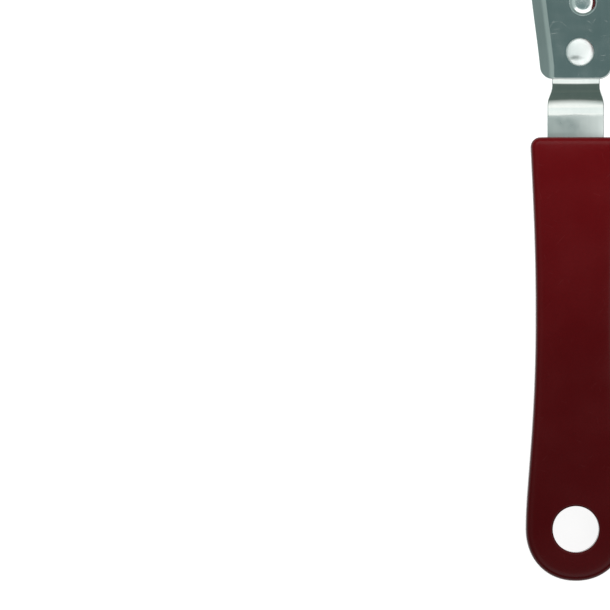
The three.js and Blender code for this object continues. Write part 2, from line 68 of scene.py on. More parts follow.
def level(node):
    low, high = box(node)
    return low.z, high.z


axis = {joint["name"]: np.array(joint["pos_m"][:2]) / MM for joint in frame["joints"]}
PIVOT = axis["handle_open"]
DRIVE = axis["key_spin"]
CUTTER = axis["cutter_spin"]
GRIP_END = box("drive_grip_front")[0].y
HANDLE_X = {arm: sum(corner.x for corner in box(f"{arm}_grip_front")) / 2 for arm in ("drive", "cutter")}
SIDE = {"drive": 1, "cutter": -1}
ARM_RIVETS = {"lower": (1, 132.25), "upper": (1.75, 144.75)}


def rivet_place(arm, x, y):
    return HANDLE_X[arm] - SIDE[arm] * x, GRIP_END + y


# ---- outlines ----

class Outline:
    """A closed line in the plane, drawn stretch by stretch."""

    def __init__(self, x, y):
        self.points = [(x, y)]

    def line(self, x, y, steps=1):
        start = np.array(self.points[-1])
        for i in range(1, steps + 1):
            self.points.append(tuple(start + (np.array((x, y)) - start) * i / steps))
        return self

    def curve(self, x1, y1, x2, y2, x, y, steps=28):
        p = np.array([self.points[-1], (x1, y1), (x2, y2), (x, y)])
        for i in range(1, steps + 1):
            t = i / steps
            weights = np.array([(1 - t) ** 3, 3 * t * (1 - t) ** 2, 3 * t * t * (1 - t), t ** 3])
            self.points.append(tuple(weights @ p))
        return self

    def arc(self, centre, radius, start, stop, steps=24):
        for i in range(steps + 1):
            a = start + (stop - start) * i / steps
            self.points.append((centre[0] + radius * math.cos(a), centre[1] + radius * math.sin(a)))
        return self

    def loop(self):
        """The points as an array, without repeats, anticlockwise."""
        points = [np.array(p) for p in self.points]
        kept = [p for i, p in enumerate(points) if np.linalg.norm(p - points[i - 1]) > 1e-3]
        loop = np.array(kept)
        following = np.roll(loop, -1, 0)
        area = np.sum(loop[:, 0] * following[:, 1] - following[:, 0] * loop[:, 1])
        return loop if area > 0 else loop[::-1]


def circle(centre, radius, steps=64):
    """Points anticlockwise round a centre."""
    turn = np.linspace(0, 2 * math.pi, steps, endpoint=False)
    return np.column_stack([centre[0] + radius * np.cos(turn), centre[1] + radius * np.sin(turn)])


def distance(points, loop):
    """From each point to the nearest edge of the loop."""
    along = np.roll(loop, -1, 0) - loop
    reach = points[:, None] - loop
    share = np.clip((reach * along).sum(2) / (along ** 2).sum(1), 0, 1)
    return np.sqrt(((reach - share[..., None] * along) ** 2).sum(2)).min(1)


def inside(points, loops):
    """Which points an odd number of the loops go round."""
    odd = np.zeros(len(points), bool)
    for loop in loops:
        for (x0, y0), (x1, y1) in zip(loop, np.roll(loop, -1, 0)):
            if y0 != y1:
                straddles = (y0 > points[:, 1]) != (y1 > points[:, 1])
                odd ^= straddles & (points[:, 0] < x0 + (points[:, 1] - y0) * (x1 - x0) / (y1 - y0))
    return odd


def shifted(loop, amount):
    """The loop's points moved to the left of their direction of travel."""
    along = np.roll(loop, -1, 0) - np.roll(loop, 1, 0)
    left = np.column_stack([-along[:, 1], along[:, 0]]) / np.linalg.norm(along, axis=1)[:, None]
    return loop + amount * left


# ---- solids ----

def piece(name, vertices, faces, material, body=None, slot=None, nodes=()):
    """A visible piece that rides `body` and stands for the solids `nodes`. Without a body it is scenery."""
    mesh = bpy.data.meshes.new(name)
    mesh.from_pydata([Vector(v) * MM for v in vertices], [], faces)
    mesh.validate()
    mesh.shade_smooth()
    mesh.set_sharp_from_angle(angle=SHARP)
    mesh.materials.append(material)
    obj = bpy.data.objects.new(name, mesh)
    bpy.context.scene.collection.objects.link(obj)
    if body:
        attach(obj, body)
        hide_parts(*nodes)
    return obj


ROW = 0.866                              # distance between the rows of a triangular grid, in spacings
CLEAR = 0.97                             # share of its inset that a row keeps from every edge
GRID_GAP, EXTRA_GAP = 0.6, 0.2           # what the points inside the rows keep from the last row, in spacings
APART = 0.5                              # what the grid keeps from the extra points, in spacings
SAME = 1e-6                              # points nearer than this are one
FAR = 1e3


def relief(outer, holes, top, bottom, spacing, insets, extra=None):
    """Vertices and faces of a solid between two height fields over a flat outline with holes.

    `top` and `bottom` take the points, their distances to the outer edge and to the nearest hole.
    Rows of points follow every edge at the given insets, so that rounded edges come out smooth. `extra` holds
    more points, for a bend that no edge follows.
    """
    loops = [outer, *holes]
    points = [outer, *holes]
    edges = []
    first = 0
    for loop in loops:
        count = len(loop)
        edges += [(first + i, first + (i + 1) % count) for i in range(count)]
        first += count
    inward = [(outer, 1)] + [(hole, -1) for hole in holes]
    for inset in insets:
        for loop, way in inward:
            row = shifted(loop, way * inset)
            clear = np.minimum.reduce([distance(row, other) for other in loops])
            points.append(row[(clear > CLEAR * inset) & inside(row, loops)])
    low, high = outer.min(0), outer.max(0)
    xs = np.arange(low[0], high[0], spacing)
    ys = np.arange(low[1], high[1], spacing * ROW)
    grid = np.array([(x + (j % 2) * spacing / 2, y) for j, y in enumerate(ys) for x in xs])
    grid = grid[inside(grid, loops)]
    clear = np.minimum.reduce([distance(grid, loop) for loop in loops])
    grid = grid[clear > insets[-1] + GRID_GAP * spacing]
    if extra is not None:
        clear = np.minimum.reduce([distance(extra, loop) for loop in loops])
        extra = extra[(clear > insets[-1] + EXTRA_GAP * spacing) & inside(extra, loops)]
        points.append(extra)
        nearest = np.array([np.hypot(*(extra - place).T).min() for place in grid])
        grid = grid[nearest > APART * spacing]
    points.append(grid)
    flat = np.vstack(points)
    found, _, triangles, _, _, _ = delaunay_2d_cdt([Vector(p) for p in flat], edges, [], 0, SAME)
    flat = np.array([tuple(p) for p in found])
    centres = np.array([flat[list(t)].mean(0) for t in triangles])
    kept = [tuple(t) for t, keep in zip(triangles, inside(centres, loops)) if keep]
    to_edge = distance(flat, outer)
    to_hole = np.full(len(flat), FAR)
    for hole in holes:
        to_hole = np.minimum(to_hole, distance(flat, hole))
    high_z = top(flat, to_edge, to_hole)
    low_z = bottom(flat, to_edge, to_hole)
    count = len(flat)
    vertices = [(x, y, z) for (x, y), z in zip(flat, high_z)]
    vertices += [(x, y, z) for (x, y), z in zip(flat, low_z)]
    faces = kept + [tuple(i + count for i in reversed(t)) for t in kept]
    directed = {(t[i], t[(i + 1) % 3]) for t in kept for i in range(3)}
    walls = sorted((a, b) for a, b in directed if (b, a) not in directed)
    faces += [(b, a, a + count, b + count) for a, b in walls]
    return vertices, faces


def rounded(away, radius):
    """How far a quarter-round edge lies below the face, at each distance from the edge."""
    near = np.clip(radius - away, 0, radius)
    return radius - np.sqrt(radius ** 2 - near ** 2)


def quarter(radius, steps=6):
    """Insets that follow a quarter-round edge evenly."""
    return [radius * (1 - math.cos(math.pi / 2 * i / steps)) for i in range(1, steps + 1)]


def slab(outer, holes, low, high, edge, spacing=2.0):
    """A flat piece with small rounded edges above and below."""
    def top(flat, to_edge, to_hole):
        return high - rounded(np.minimum(to_edge, to_hole), edge)

    def bottom(flat, to_edge, to_hole):
        return low + rounded(np.minimum(to_edge, to_hole), edge)

    return relief(outer, holes, top, bottom, spacing, quarter(edge, 3))


def lathe(centre, profile, steps=72):
    """A solid turned about a vertical axis. The profile runs from low to high outside, in (radius, height)
    pairs, and closes on itself or on the axis."""
    vertices = []
    rings = []
    for radius, height in profile:
        if radius == 0:
            rings.append([len(vertices)] * steps)
            vertices.append((centre[0], centre[1], height))
        else:
            rings.append(list(range(len(vertices), len(vertices) + steps)))
            for x, y in circle(centre, radius, steps):
                vertices.append((x, y, height))
    faces = []
    closed = profile[0][0] > 0
    pairs = list(zip(rings, rings[1:])) + ([(rings[-1], rings[0])] if closed else [])
    for lower, upper in pairs:
        for i in range(steps):
            j = (i + 1) % steps
            corners = [lower[i], lower[j], upper[j], upper[i]]
            faces.append(tuple(dict.fromkeys(corners)))
    return vertices, faces


def soften(profile, radius, steps=4):
    """The profile with its corners rounded, apart from those on the axis."""
    points = [np.array(p, float) for p in profile]
    closed = profile[0][0] > 0
    result = []
    for i, corner in enumerate(points):
        ends = not closed and i in (0, len(points) - 1)
        before, after = points[i - 1], points[(i + 1) % len(points)]
        if ends or corner[0] == 0:
            result.append(corner)
            continue
        back, on = before - corner, after - corner
        back_length, on_length = np.linalg.norm(back), np.linalg.norm(on)
        reach = min(radius, min(back_length, on_length) * 0.45)
        start = corner + back / back_length * reach
        stop = corner + on / on_length * reach
        for k in range(steps + 1):
            t = k / steps
            result.append((1 - t) ** 2 * start + 2 * t * (1 - t) * corner + t * t * stop)
    return [tuple(p) for p in result]


def dome(radius, height, base, way, steps=10):
    """Half the outline of a rivet head: a short upright rim, then a shallow crown that ends on the axis."""
    rim = 0.3 * height
    crown = radius - 0.04 * height
    points = [(radius, base), (radius, base + way * rim * 0.7)]
    for i in range(steps + 1):
        a = math.pi / 2 * i / steps
        out = crown - crown * (1 - math.cos(a))
        points.append((out if i < steps else 0, base + way * (rim + (height - rim) * math.sin(a))))
    return points


def button(radius, height, base, way, steps=16):
    """Half the outline of a cup-set rivet head: nearly flat in the middle, steep at its edge."""
    points = []
    for i in range(steps + 1):
        share = math.cos(math.pi / 2 * i / steps) if i < steps else 0
        points.append((radius * share, base + way * height * (1 - share ** 5)))
    return points


def rivet(centre, shank, low, high, front, back, front_shape=dome):
    """A rivet with a head (radius, height) at each end of what it clamps."""
    profile = dome(*back, low, -1)[::-1] + [(shank, low), (shank, high)] + front_shape(*front, high, 1)
    return lathe(centre, profile)


def carve(obj, *cutters):
    """Cuts the cutters' shapes, each (vertices, faces), out of the piece."""
    for vertices, faces in cutters:
        mesh = bpy.data.meshes.new("cutter")
        mesh.from_pydata([Vector(v) * MM for v in vertices], [], faces)
        tool = bpy.data.objects.new("cutter", mesh)
        bpy.context.scene.collection.objects.link(tool)
        cut = obj.modifiers.new("cut", "BOOLEAN")
        cut.operation = "DIFFERENCE"
        cut.solver = "EXACT"
        cut.object = tool
        graph = bpy.context.evaluated_depsgraph_get()
        carved = bpy.data.meshes.new_from_object(obj.evaluated_get(graph))
        obj.modifiers.clear()
        obj.data = carved
        bpy.data.objects.remove(tool)
    obj.data.shade_smooth()
    obj.data.set_sharp_from_angle(angle=SHARP)


def joined(*shapes):
    """Several closed shapes, each (vertices, faces), as one."""
    vertices, faces = [], []
    for more_vertices, more_faces in shapes:
        count = len(vertices)
        vertices += more_vertices
        faces += [tuple(i + count for i in face) for face in more_faces]
    return vertices, faces


def moved(shape, x, y):
    """The shape, (vertices, faces), shifted sideways."""
    vertices, faces = shape
    return [(a + x, b + y, c) for a, b, c in vertices], faces


def brick(x, y, z):
    """A box between the limits (low, high) along each axis."""
    corners = [(x[i], y[j], z[k]) for k in (0, 1) for j in (0, 1) for i in (0, 1)]
    faces = [(0, 2, 3, 1), (4, 5, 7, 6), (0, 1, 5, 4), (2, 6, 7, 3), (0, 4, 6, 2), (1, 3, 7, 5)]
    return corners, faces


# ---- materials ----

class Nodes:
    """A node tree, the socket that gives a place or direction, and the nodes that materials and sky share."""

    def __init__(self, tree, coordinates):
        self.tree = tree
        self.place = tree.nodes.new("ShaderNodeTexCoord").outputs[coordinates]

    def node(self, kind, **inputs):
        node = self.tree.nodes.new(kind)
        for name, value in inputs.items():
            self.set(node.inputs[name], value)
        return node

    def set(self, socket, value):
        if isinstance(value, bpy.types.NodeSocket):
            self.tree.links.new(value, socket)
        else:
            socket.default_value = value

    def mapped(self, scale, turn=0.0, origin=(0, 0, 0)):
        """The place, measured from an origin along axes turned about Z, with `scale` as the unit of each."""
        mapping = self.node("ShaderNodeMapping")
        mapping.vector_type = "TEXTURE"
        settings = {"Vector": self.place, "Location": origin, "Rotation": (0, 0, turn), "Scale": scale}
        for name, value in settings.items():
            self.set(mapping.inputs[name], value)
        return mapping.outputs["Vector"]

    def spot(self, centre, half_size):
        """0 at a centre in the XY plane, 1 on the ellipse round it. Both are in millimetres."""
        x, y = centre
        half_x, half_y = half_size
        local = self.mapped((half_x * MM, half_y * MM, 1), origin=(x * MM, y * MM, 0))
        return self.vector("LENGTH", local)

    def noise(self, scale, detail=3.0, stretch=None, turn=0.0):
        place = self.mapped(stretch, turn) if stretch else self.place
        texture = self.node("ShaderNodeTexNoise", Vector=place, Scale=scale, Detail=detail)
        return texture.outputs["Fac"]

    def remap(self, value, low, high, to_low, to_high):
        node = self.node("ShaderNodeMapRange")
        limits = {"From Min": low, "From Max": high, "To Min": to_low, "To Max": to_high}
        for name, number in limits.items():
            node.inputs[name].default_value = number
        self.set(node.inputs["Value"], value)
        return node.outputs["Result"]

    def math(self, operation, a, b):
        node = self.node("ShaderNodeMath")
        node.operation = operation
        self.set(node.inputs[0], a)
        self.set(node.inputs[1], b)
        return node.outputs["Value"]

    def vector(self, operation, a, b=None):
        node = self.node("ShaderNodeVectorMath")
        node.operation = operation
        self.set(node.inputs[0], a)
        if b is not None:
            self.set(node.inputs[1], b)
        return node.outputs["Value" if operation == "LENGTH" else "Vector"]

    def mix(self, factor, a, b):
        node = self.node("ShaderNodeMix")
        node.data_type = "RGBA"
        self.set(node.inputs[0], factor)
        for socket, value in ((node.inputs[6], a), (node.inputs[7], b)):
            self.set(socket, value if isinstance(value, bpy.types.NodeSocket) else (*value, 1))
        return node.outputs[2]


class Surface(Nodes):
    """A material with the textures that the pieces share. Texture scales are per metre."""

    def __init__(self, name, color, metallic, roughness):
        self.material = bpy.data.materials.new(name)
        self.material.use_nodes = True
        super().__init__(self.material.node_tree, "Object")
        self.shader = self.tree.nodes["Principled BSDF"]
        self.shader.inputs["Base Color"].default_value = (*color, 1)
        self.shader.inputs["Metallic"].default_value = metallic
        self.shader.inputs["Roughness"].default_value = roughness

    def color(self, value):
        self.set(self.shader.inputs["Base Color"], value)

    def roughness(self, value):
        self.set(self.shader.inputs["Roughness"], value)

    def bump(self, height, depth, strength=1.0):
        bump = self.node("ShaderNodeBump", Height=height, Distance=depth * MM, Strength=strength)
        self.set(self.shader.inputs["Normal"], bump.outputs["Normal"])

    def hairlines(self, turns, scale=5000.0, length=30.0, keep=0.72):
        """Fine scratches in the given directions, `length` times as long as wide: 1 on one, 0 off it."""
        total = None
        for turn in turns:
            streak = self.noise(scale, 1.0, (1.0, length, 1.0), turn)
            line = self.remap(streak, keep, keep + 0.04, 0.0, 1.0)
            total = line if total is None else self.math("MAXIMUM", total, line)
        return total


def moulded_plastic():
    s = Surface("moulded dark red plastic", (0.058, 0.0011, 0.002), 0.0, 0.2)
    s.shader.inputs["IOR"].default_value = 1.46
    s.shader.inputs["Specular IOR Level"].default_value = 0.14
    cloud = s.noise(45, 2.0)
    speck = s.noise(1800, 4.0)
    base = s.mix(s.remap(cloud, 0.35, 0.65, 0, 1), (0.054, 0.0009, 0.0017), (0.062, 0.0015, 0.0024))
    scuffs = s.hairlines((0.3, 1.2, 2.4), 3500.0, 25.0, 0.74)
    base = s.mix(s.remap(speck, 0.4, 0.7, 0, 0.35), base, (0.044, 0.0009, 0.0015))
    s.color(s.mix(s.math("MULTIPLY", scuffs, 0.12), base, (0.1, 0.011, 0.014)))
    worn = s.remap(s.noise(90, 3.0), 0.35, 0.65, 0.17, 0.23)
    s.roughness(s.math("ADD", worn, s.math("MULTIPLY", scuffs, 0.12)))
    grain = s.math("ADD", s.noise(2600, 2.0), s.math("MULTIPLY", scuffs, -0.4))
    s.bump(grain, 0.004)
    return s.material


def rolled_steel(name, light, dark, smooth, rough, tarnish, worked=None):
    """Plated sheet: a faint grain along the strip, hairline scratches and a little staining. From the place
    `worked`, in millimetres along Y, the bending die has left it smoother."""
    s = Surface(name, light, 1.0, smooth)
    grain = s.noise(900, 3.0, (1.0, 30.0, 1.0))
    stain = s.noise(70, 4.0)
    scratches = s.hairlines((0.1, 0.9, 1.75, 2.6), keep=0.735)
    base = s.mix(s.remap(stain, 0.4, 0.72, 0, tarnish), light, dark)
    base = s.mix(s.remap(grain, 0.35, 0.7, 0, 0.25), base, dark)
    s.color(base)
    satin = s.remap(s.noise(160, 4.0), 0.35, 0.65, smooth, rough)
    if worked:
        ripple = s.remap(s.noise(240, 2.0), 0.3, 0.7, -0.3, 0.3)
        along = s.node("ShaderNodeSeparateXYZ", Vector=s.place).outputs["Y"]
        past = s.math("SUBTRACT", s.math("MULTIPLY", along, 1 / MM), worked)
        pressed = s.remap(s.math("ADD", past, ripple), -0.4, 0.4, 0.0, 1.0)
        satin = s.math("MULTIPLY", satin, s.remap(pressed, 0, 1, 1.0, 0.22))
        lines = s.remap(s.noise(900, 2.0, (30.0, 1.0, 1.0)), 0.35, 0.65, 0.0, 0.45)
        s.color(s.mix(s.math("MULTIPLY", pressed, lines), base, (0.72, 0.69, 0.66)))
    s.roughness(s.math("ADD", satin, s.math("MULTIPLY", scratches, 0.09)))
    height = s.math("ADD", s.math("MULTIPLY", grain, 0.5), s.math("MULTIPLY", scratches, -0.6))
    s.bump(height, 0.004)
    return s.material


def polished_steel():
    s = Surface("polished steel", (0.86, 0.89, 0.88), 1.0, 0.16)
    scratches = s.hairlines((0.4, 1.5, 2.7))
    s.color(s.mix(s.remap(s.noise(300, 4.0), 0.45, 0.75, 0, 0.4), (0.86, 0.89, 0.88), (0.66, 0.69, 0.68)))
    satin = s.remap(s.noise(500, 3.0), 0.3, 0.7, 0.1, 0.24)
    s.roughness(s.math("ADD", satin, s.math("MULTIPLY", scratches, 0.1)))
    s.bump(s.math("ADD", s.noise(700, 2.0), s.math("MULTIPLY", scratches, -0.5)), 0.006)
    return s.material


def satin_steel():
    """Soft zinc-plated steel, matt from the rivet set that formed it, with a patch of painted shade on one
    head that stands in for a shaded reflection.
    """
    s = Surface("satin steel", (0.96, 0.975, 0.97), 1.0, 0.45)
    dents = s.noise(900, 3.0)
    base = s.mix(s.remap(s.noise(400, 4.0), 0.45, 0.7, 0, 0.4), (0.97, 0.985, 0.98), (0.84, 0.86, 0.85))
    # Painted shade: a darker patch low on the left of the cutter arm's lower rivet head, standing in for a
    # shaded reflection in the satin metal.
    x, y = rivet_place("cutter", *ARM_RIVETS["lower"])
    ragged = s.remap(s.noise(700, 2.0), 0.3, 0.7, -0.2, 0.2)
    painted_shade = s.remap(s.math("ADD", s.spot((x - 1.25, y - 1.45), (1.9, 0.75)), ragged), 0.25, 1.15, 0.9, 0.0)
    s.color(s.mix(painted_shade, base, (0.34, 0.36, 0.355)))
    s.roughness(s.remap(dents, 0.3, 0.7, 0.38, 0.5))
    s.bump(dents, 0.02)
    return s.material


def turned_steel(name, centre, light, dark, smooth, rough):
    """Steel with the rings that turning leaves round a centre, in millimetres."""
    s = Surface(name, light, 1.0, smooth)
    away = s.vector("SUBTRACT", s.place, (centre[0] * MM, centre[1] * MM, 0))
    flat = s.vector("MULTIPLY", away, (1, 1, 0))
    rings = s.node("ShaderNodeTexNoise", Scale=9000.0, Detail=3.0)
    rings.noise_dimensions = "1D"
    s.set(rings.inputs["W"], s.vector("LENGTH", flat))
    ring = rings.outputs["Fac"]
    blotch = s.math("ADD", s.math("MULTIPLY", ring, 0.5), s.math("MULTIPLY", s.noise(220, 4.0), 0.5))
    s.color(s.mix(s.remap(blotch, 0.4, 0.62, 0, 1), light, dark))
    s.roughness(s.remap(ring, 0.3, 0.7, smooth, rough))
    s.bump(ring, 0.01)
    return s.material


def sintered_steel():
    s = Surface("sintered steel", (0.4, 0.42, 0.42), 1.0, 0.4)
    pores = s.noise(2400, 5.0)
    s.color(s.mix(s.remap(s.noise(350, 4.0), 0.38, 0.68, 0, 1), (0.46, 0.48, 0.48), (0.27, 0.28, 0.275)))
    s.roughness(s.remap(pores, 0.3, 0.7, 0.3, 0.5))
    s.bump(s.remap(pores, 0.35, 0.6, 0.0, 1.0), 0.015)
    return s.material


PLASTIC = moulded_plastic()
PLATE = rolled_steel("plated head sheet", (0.63, 0.66, 0.655), (0.47, 0.51, 0.5), 0.07, 0.16, 0.6)
DIE_FROM = GRIP_END + 116.5
STRIP = rolled_steel("plated tang strip", (0.6, 0.635, 0.62), (0.47, 0.51, 0.5), 0.26, 0.42, 0.7, DIE_FROM)
BRIGHT = polished_steel()
SATIN = satin_steel()
BLADE = turned_steel("ground cutting wheel", CUTTER, (0.72, 0.74, 0.74), (0.5, 0.52, 0.52), 0.12, 0.26)
SINTERED = sintered_steel()
BODY = {"drive": "drive_arm", "cutter": "cutter_arm"}


# ---- grips ----

GRIP = {"length": 111, "end": 12.5, "waist": 10, "top": 11.3, "corner": 2.5, "hole": 5.8, "hole_at": 12.9}
SCREWS_AT = {"lower": 48, "upper": 82}
RIB_POCKETS = ((22, 43), (53, 77), (87, 105))
TANG_HALF = 7.1


def grip_outline():
    g = GRIP
    o = Outline(0, 0)
    o.curve(7.5, 0, g["end"], 5.4, g["end"], 13, 32)
    o.curve(g["end"], 24, g["waist"], 38, g["waist"], 66, 48)
    o.curve(g["waist"], 84, 10.7, 96, g["top"], g["length"] - g["corner"], 40)
    o.curve(g["top"], 110, 10.2, g["length"], g["top"] - g["corner"], g["length"], 10)
    right = o.points[:]
    o.line(0, g["length"], 8)
    o.line(g["corner"] - g["top"], g["length"], 8)
    o.points += [(-x, y) for x, y in reversed(right)]
    return o.loop()


def grip_shell(low, high, flip):
    """One shell in the handle's own frame, outer face up. `flip` turns it over into a back shell."""
    crown, reach, edge, rim, seam = 0.3, 5.2, 1.4, 0.5, 0.22

    def top(flat, to_edge, to_hole):
        fall = crown * (1 - np.clip(to_edge / reach, 0, 1)) ** 3
        return high - fall - rounded(to_edge, edge) - rounded(to_hole, rim)

    def bottom(flat, to_edge, to_hole):
        return low + np.clip(seam - np.minimum(to_edge, to_hole), 0, seam)

    hole = circle((0, GRIP["hole_at"]), GRIP["hole"], 72)
    insets = sorted({*quarter(edge, 7), *quarter(rim, 4), seam, 2.0, 2.7, 3.4, 4.2, reach})
    vertices, faces = relief(grip_outline(), [hole], top, bottom, 1.8, insets)
    if flip:
        vertices = [(x, y, low + high - z) for x, y, z in vertices]
        faces = [tuple(reversed(f)) for f in faces]
    return vertices, faces


def make_grip(arm):
    """Both shells, with a slot for the strip, pockets between ribs and stepped bores for the screws."""
    middle = sum(level(f"{arm}_grip_back")[:1] + level(f"{arm}_grip_front")[1:]) / 2
    play, wall = 0.1, 2.4
    slot = TANG_HALF + play
    slot_half = SHEET / 2 + play
    along = (TANG["foot"] - play, GRIP["length"] + 1)
    slots = [brick((-slot, slot), along, (middle - slot_half, middle + slot_half))]
    for pocket in RIB_POCKETS:
        slots.append(brick((-slot, slot), pocket, (wall, 2 * middle - wall)))
    head_bore, seat, bore, deep = 2.8, 2.2, 1.5, 9.7
    stepped = [(0, -1), (head_bore, -1), (head_bore, seat), (bore, seat), (bore, deep), (0, deep)]
    for half in ("front", "back"):
        node = f"{arm}_grip_{half}"
        shape = moved(grip_shell(*level(node), half == "back"), HANDLE_X[arm], GRIP_END)
        shell = piece(f"{node}_shell", *shape, PLASTIC, BODY[arm], "grip_plastic", [node])
        bores = [lathe((0, at), stepped, 40) for at in SCREWS_AT.values()]
        carve(shell, *[moved(tool, HANDLE_X[arm], GRIP_END) for tool in slots + bores])


def make_grip_screws(arm):
    """Pan-head screws with a cross recess and a thread, put in from the back."""
    core, crest, pitch = 1.15, 1.4, 0.55
    slot, slot_half = 1.45, 0.3
    for where, at in SCREWS_AT.items():
        node = f"{arm}_grip_screw_{where}"
        low, high = level(node)
        x, y = HANDLE_X[arm], GRIP_END + at
        head = [(0, low), (2.0, low), (2.45, low + 0.25), (2.6, low + 0.7), (2.6, low + 1.5)]
        thread = []
        z = low + 1.6
        while z < high - 1.5:
            thread += [(core, z), (crest, z + 0.2), (core, z + 0.4)]
            z += pitch
        point = [(1.1, high - 1.2), (0.25, high - 0.1), (0, high)]
        shape = lathe((x, y), [*head, (core, low + 1.55), *thread, *point], 40)
        screw = piece(f"{node}_turned", *shape, BRIGHT, BODY[arm], "rivet_steel", [node])
        recess = []
        for across, along in ((slot, slot_half), (slot_half, slot)):
            recess.append(brick((x - across, x + across), (y - along, y + along), (low - 1, low + 0.75)))
        carve(screw, *recess)


# ---- tangs ----

TANG = {"foot": 30, "foot_round": 4, "top": 148.5, "top_round": 3, "neck": 6, "taper": (119.5, 124)}
JOGGLE = {"from": 115.3, "to": 125.9, "low_bend": 11.8, "high_bend": 3.2}
SCREW_HOLE = 3.2
RIVET_HOLE = 2
RIVET_SHANK = 1.9


def through(centre, radius):
    """A drill long enough to go through any sheet."""
    return lathe(centre, [(0, 0), (radius, 0), (radius, 20), (0, 20)], 40)


def tang_line(rise):
    """The middle line of the joggled strip as (distance from the grip's end, height, slope) stations."""
    t, j = TANG, JOGGLE
    run = j["to"] - j["from"]
    bends = j["low_bend"] + j["high_bend"]
    spare = 2 * bends - rise
    slope = 2 * math.atan((run - math.sqrt(run * run - rise * spare)) / spare)
    straight = (run - bends * math.sin(slope)) / math.cos(slope)
    foot = t["foot"] + t["foot_round"] * (1 - np.cos(np.linspace(0, math.pi / 2, 8)))
    stations = [(y, 0.0, 0.0) for y in [*foot, *np.linspace(foot[-1] + 2, j["from"] - 0.5, 30)]]
    for a in np.linspace(0, slope, 16):
        stations.append((j["from"] + j["low_bend"] * math.sin(a), j["low_bend"] * (1 - math.cos(a)), a))
    y, z, _ = stations[-1]
    for share in np.linspace(0, 1, 5)[1:]:
        along = straight * share
        stations.append((y + along * math.cos(slope), z + along * math.sin(slope), slope))
    for a in np.linspace(slope, 0, 14)[1:]:
        back, down = j["high_bend"] * math.sin(a), j["high_bend"] * (1 - math.cos(a))
        stations.append((j["to"] - back, rise - down, a))
    end = t["top"] - t["top_round"]
    tip = end + t["top_round"] * np.sin(np.linspace(0.15, math.pi / 2 - 0.02, 8))
    stations += [(y, rise, 0.0) for y in [*np.linspace(j["to"] + 0.5, end, 14), *tip]]
    return stations


def tang_half_width(y):
    t = TANG
    start, stop = t["taper"]
    share = min(max((y - start) / (stop - start), 0), 1)
    half = TANG_HALF + (t["neck"] - TANG_HALF) * (3 * share ** 2 - 2 * share ** 3)
    into_foot = t["foot"] + t["foot_round"] - y
    into_top = y - (t["top"] - t["top_round"])
    for into, radius in ((into_foot, t["foot_round"]), (into_top, t["top_round"])):
        if into > 0:
            half -= radius - math.sqrt(max(radius ** 2 - into ** 2, 0))
    return half


def make_tang(arm):
    """A strip with rounded edges, drawn section by section along its middle line and then drilled."""
    node = f"{arm}_arm_tang"
    low, high = level(node)
    rise = high - low - SHEET
    edge = 0.25
    turns = [math.pi / 2 * i / 3 for i in range(4)]
    corners = [(edge * (1 - math.cos(a)), edge * math.sin(a)) for a in turns]
    vertices = []
    stations = tang_line(rise)
    middle = low + SHEET / 2
    for y, z, slope in stations:
        half = tang_half_width(y)
        section = []
        for across, up in ((1, -1), (1, 1), (-1, 1), (-1, -1)):
            order = corners if across * up > 0 else corners[::-1]
            for inward, upward in order:
                section.append((across * (half - inward), up * (SHEET / 2 - edge + upward)))
        for x, w in section:
            back, lift = w * math.sin(slope), w * math.cos(slope)
            vertices.append((HANDLE_X[arm] + x, GRIP_END + y - back, middle + z + lift))
    sides = len(vertices) // len(stations)
    faces = []
    for i in range(len(stations) - 1):
        for j in range(sides):
            a, b = i * sides + j, i * sides + (j + 1) % sides
            faces.append((a, a + sides, b + sides, b))
    last = (len(stations) - 1) * sides
    faces.append(tuple(range(sides)))
    faces.append(tuple(last + j for j in reversed(range(sides))))
    strip = piece(f"{node}_strip", vertices, faces, STRIP, BODY[arm], "tang_steel", [node])
    holes = [through((HANDLE_X[arm], GRIP_END + at), SCREW_HOLE) for at in SCREWS_AT.values()]
    holes += [through(rivet_place(arm, *place), RIVET_HOLE) for place in ARM_RIVETS.values()]
    carve(strip, *holes)


# ---- head plates ----

PLATE_FOOT = GRIP_END + 125.5
PLATE_HALF = 9
PLATE_CORNER = 3
FLANGE = {"width": 2.75, "drop": 2.0, "top": 63, "fade": 16, "bend": 1.25}
PIVOT_BOSS = 9
CAP = {"half": 14, "hole": 10.5, "low": 84.5, "high": 95.8, "tab": 4, "rise": 2.2}


def cutter_plate_outline():
    c = PLATE_CORNER
    left = HANDLE_X["cutter"] - PLATE_HALF
    right = HANDLE_X["cutter"] + PLATE_HALF
    to_drive = DRIVE - PIVOT
    aim = math.atan2(to_drive[1], to_drive[0])
    hollow = np.linalg.norm(to_drive) - PIVOT_BOSS
    o = Outline(left + c, PLATE_FOOT)
    o.curve(left + c * 0.45, PLATE_FOOT, left, PLATE_FOOT + c * 0.45, left - 0.1, PLATE_FOOT + c, 10)
    o.curve(-25.8, 35.5, -26.9, 42, -27.8, 51, 40)
    o.curve(-28.3, 56, -27, 62.5, -22, 68.5)
    o.curve(-16.5, 75, -10.5, 82, PIVOT[0], PIVOT[1] + PIVOT_BOSS)
    o.arc(PIVOT, PIVOT_BOSS, math.pi / 2, aim, 30)
    o.arc(DRIVE, hollow, aim + math.pi, math.pi - 0.12, 20)
    o.curve(-2.5, 50, -5.4, 40, right, PLATE_FOOT + c, 40)
    o.curve(right, PLATE_FOOT + c * 0.45, right - c * 0.55, PLATE_FOOT, right - c, PLATE_FOOT, 10)
    o.line(left + c, PLATE_FOOT, 30)
    return o.loop()


